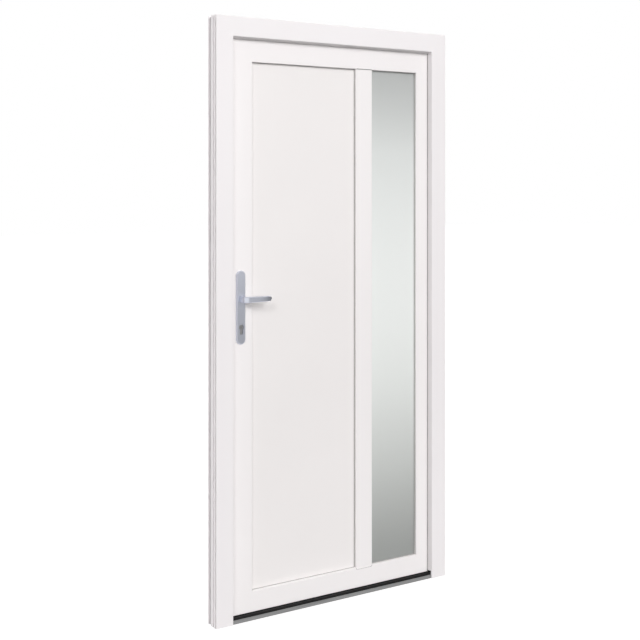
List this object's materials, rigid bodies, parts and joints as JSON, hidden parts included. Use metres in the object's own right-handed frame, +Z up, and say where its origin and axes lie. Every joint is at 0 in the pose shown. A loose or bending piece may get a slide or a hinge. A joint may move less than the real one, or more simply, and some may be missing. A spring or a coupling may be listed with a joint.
{
  "type": "pvc front door",
  "caption": "Inward opening white plastic front door in its frame, with a solid panel, a narrow frosted glass strip, a mullion, a lever set on a long plate and a low threshold.",
  "frame": {"origin": "middle of the threshold's underside, half way through the depth of the frame", "axes": "+X to the right and +Y into the house as seen from the street side, +Z up"},
  "size_m": [1, 0.155, 2.1],
  "materials": {
    "frame_plastic": "white, smooth, semi gloss",
    "leaf_plastic": "white, smooth, semi gloss",
    "panel_skin": "white, smooth, semi gloss",
    "grey_gasket": "light grey, matte",
    "satin_glass": "frosted",
    "clear_glass": "clear",
    "spacer_metal": "bare",
    "handle_metal": "satin anodised",
    "lock_steel": "brushed",
    "threshold_metal": "mill finish",
    "threshold_black": "black, matte",
    "hinge_white": "white powder coat"
  },
  "bodies": {
    "frame": {"frame_lock_jamb": "frame_plastic", "frame_hinge_jamb": "frame_plastic", "frame_head": "frame_plastic", "threshold_base": "threshold_metal", "threshold_thermal_break": "threshold_black", "frame_gasket": "grey_gasket", "lock_keep": "lock_steel", "hinge_1_frame_part": "hinge_white", "hinge_2_frame_part": "hinge_white", "hinge_3_frame_part": "hinge_white", "hinge_pins": "lock_steel"},
    "leaf": {"leaf_lock_stile": "leaf_plastic", "leaf_hinge_stile": "leaf_plastic", "leaf_top_rail": "leaf_plastic", "leaf_bottom_rail": "leaf_plastic", "leaf_mullion": "leaf_plastic", "infill_panel": "panel_skin", "glass_outer_pane": "satin_glass", "glass_inner_pane": "clear_glass", "glass_spacer": "spacer_metal", "panel_outer_gasket": "grey_gasket", "panel_inner_gasket": "grey_gasket", "glass_outer_gasket": "grey_gasket", "glass_inner_gasket": "grey_gasket", "leaf_gasket": "grey_gasket", "leaf_bottom_seal": "threshold_black", "outer_backplate": "handle_metal", "inner_backplate": "handle_metal", "lock_cylinder": "lock_steel", "lock_faceplate": "lock_steel", "latch_bolt": "lock_steel", "dead_bolt": "lock_steel", "hinge_1_leaf_part": "hinge_white", "hinge_2_leaf_part": "hinge_white", "hinge_3_leaf_part": "hinge_white", "panel_bead_lock_side": "leaf_plastic", "panel_bead_hinge_side": "leaf_plastic", "panel_bead_top": "leaf_plastic", "panel_bead_bottom": "leaf_plastic", "glass_bead_lock_side": "leaf_plastic", "glass_bead_hinge_side": "leaf_plastic", "glass_bead_top": "leaf_plastic", "glass_bead_bottom": "leaf_plastic"},
    "handle": {"outer_lever": "handle_metal", "inner_lever": "handle_metal", "handle_spindle": "lock_steel"}
  },
  "joints": [
    {"name": "leaf_swing", "type": "hinge", "parent": "frame", "child": "leaf", "pos_m": [0.463, 0.0646, 1.05], "axis": [0, 0, -1], "range_deg": [0, 110]},
    {"name": "handle_turn", "type": "hinge", "parent": "leaf", "child": "handle", "pos_m": [-0.394, 0, 1.1195], "axis": [0, 1, 0], "range_deg": [0, 40], "stiffness_Nm_per_rad": 1.5, "springref_deg": -28.65}
  ]
}
